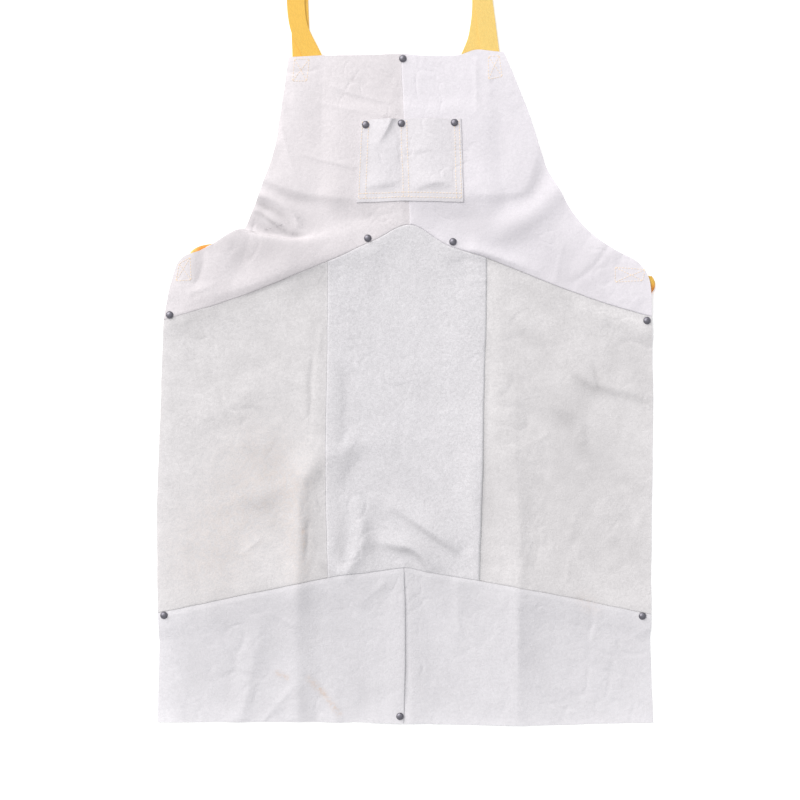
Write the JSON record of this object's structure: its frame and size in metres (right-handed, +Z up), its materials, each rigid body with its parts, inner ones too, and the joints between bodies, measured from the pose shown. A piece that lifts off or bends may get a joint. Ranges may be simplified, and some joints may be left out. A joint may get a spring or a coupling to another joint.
{
  "type": "leather work apron",
  "caption": "Long pale leather work apron lying flat, front up: pointed waist seam, skirt panels, deep hem, bib with a divided patch pocket, metal rivets and crossed webbing straps behind.",
  "frame": {"origin": "on the surface the apron lies on, under the middle of the centre panel", "axes": "+X to the right of the apron seen from above, +Y from hem to neck, +Z up from the surface"},
  "size_m": [0.6998, 1.0717, 0.023],
  "materials": {
    "leather": "napped split leather",
    "webbing": "woven webbing",
    "gunmetal": "dark polished"
  },
  "bodies": {
    "root": {"bib_left": "leather", "bib_right": "leather", "side_panel_left": "leather", "centre_panel": "leather", "side_panel_right": "leather", "hem_panel_left": "leather", "hem_panel_right": "leather", "pocket": "leather", "rivet_neck": "gunmetal", "rivet_pocket_left": "gunmetal", "rivet_pocket_middle": "gunmetal", "rivet_pocket_right": "gunmetal", "rivet_waist_left": "gunmetal", "rivet_waist_right": "gunmetal", "rivet_hip_left": "gunmetal", "rivet_hip_right": "gunmetal", "rivet_hem_left": "gunmetal", "rivet_hem_right": "gunmetal", "rivet_hem_middle": "gunmetal", "strap_left": "webbing", "strap_right": "webbing"}
  },
  "joints": []
}
